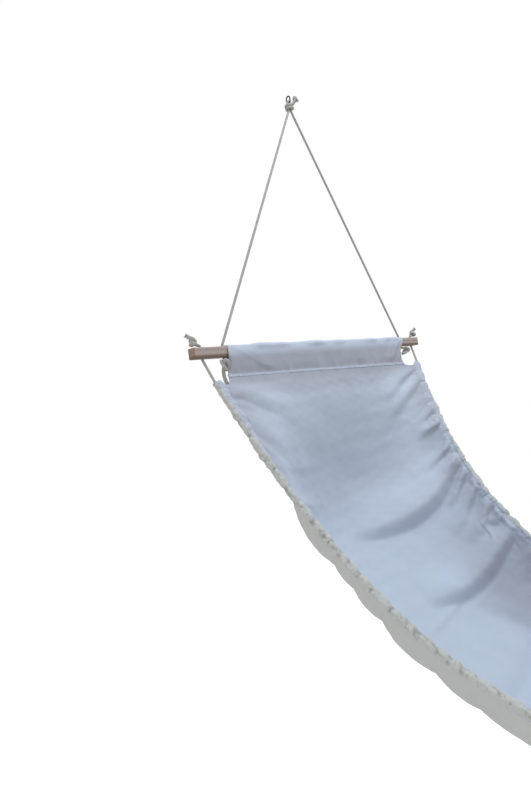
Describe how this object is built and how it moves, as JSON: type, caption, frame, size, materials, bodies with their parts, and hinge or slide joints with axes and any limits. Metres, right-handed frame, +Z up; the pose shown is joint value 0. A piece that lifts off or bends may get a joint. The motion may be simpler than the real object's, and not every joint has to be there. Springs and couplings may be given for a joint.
{
  "type": "hammock",
  "caption": "Rope-edged canvas hammock with square wooden spreader bars, hung from a steel link at each end by a knotted rope bridle.",
  "frame": {"origin": "bearing point inside the top of the far hanging link, where a hook would carry it", "axes": "+X along the hammock from the far end to the near end, +Y along the spreader bars, +Z up"},
  "size_m": [2.0205, 1.0174, 1.6055],
  "materials": {
    "canvas": "plain woven white cotton canvas, matt",
    "hem_canvas": "gathered hem of the same canvas, matt",
    "cotton_rope": "twisted natural cotton rope",
    "bare_wood": "planed, unvarnished",
    "dark_steel": "dark worn steel wire"
  },
  "bodies": {
    "links": {"hanging_link_far": "dark_steel", "hanging_link_near": "dark_steel"},
    "sling": {"hanger_rope_far": "cotton_rope", "hanger_rope_near": "cotton_rope", "rope_lashing_far": "cotton_rope", "rope_lashing_near": "cotton_rope", "spreader_bar_far": "bare_wood", "spreader_bar_near": "bare_wood", "bar_sleeve_far": "canvas", "bar_sleeve_near": "canvas", "edge_rope_left": "cotton_rope", "edge_rope_right": "cotton_rope", "edge_casing_left": "hem_canvas", "edge_casing_right": "hem_canvas", "canvas_bed": "canvas"}
  },
  "joints": [
    {"name": "swing", "type": "hinge", "parent": "links", "child": "sling", "pos_m": [0.00423, 0, -0.01955], "axis": [1, 0, 0], "range_deg": [-50, 50]}
  ]
}
